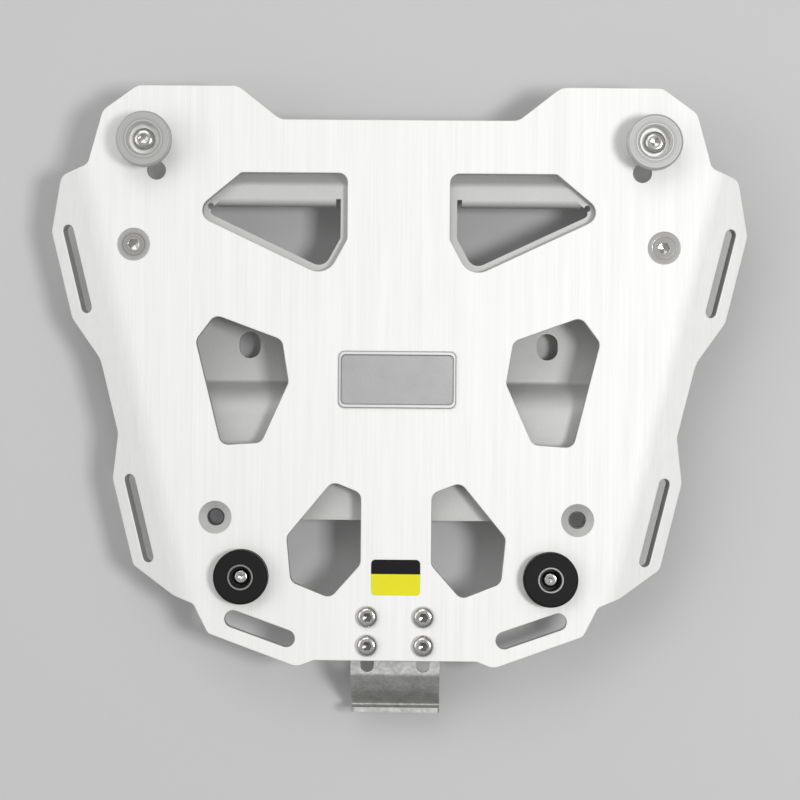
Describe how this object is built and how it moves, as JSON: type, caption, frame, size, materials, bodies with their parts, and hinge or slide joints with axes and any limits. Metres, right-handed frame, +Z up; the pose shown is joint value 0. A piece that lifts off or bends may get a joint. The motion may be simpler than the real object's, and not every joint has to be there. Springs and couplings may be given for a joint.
{
  "type": "motorcycle luggage rack",
  "caption": "Folded aluminium luggage rack plate on a folded sheet bracket, with mushroom studs, rubber pads and a rear catch for a top case, and strap slots along its edges.",
  "frame": {"origin": "middle of the underside of the bracket's trough, half-way between its two bolt slots", "axes": "+X to the right-hand side of the motorcycle, +Y to its front, +Z up, square to the plate's top face"},
  "size_m": [0.3324, 0.2995, 0.046],
  "materials": {
    "plate": "brushed along Y and clear anodised",
    "bracket": "silver-grey powder coat",
    "stud": "turned, matte anodised",
    "fastener": "bright stainless",
    "spacer": "zinc plated",
    "rubber": "moulded, matte",
    "sleeve": "turned stainless",
    "catch": "bead-blasted stainless",
    "badge": "satin, blank field",
    "label": "plain two-colour film"
  },
  "bodies": {
    "root": {"rack_plate": "plate", "carrier_bracket": "bracket", "carrier_screws": "fastener", "carrier_washers": "fastener", "carrier_nuts": "fastener", "rear_spacers": "spacer", "left_stud": "stud", "right_stud": "stud", "stud_screws": "fastener", "stud_washers": "fastener", "stud_nuts": "fastener", "left_rubber_pad": "rubber", "right_rubber_pad": "rubber", "pad_sleeves": "sleeve", "pad_screws": "fastener", "pad_washers": "fastener", "pad_nuts": "fastener", "catch_plate": "catch", "catch_screws": "fastener", "catch_washers": "fastener", "catch_nuts": "fastener", "badge_plate": "badge", "adjustment_label": "label"}
  },
  "joints": []
}
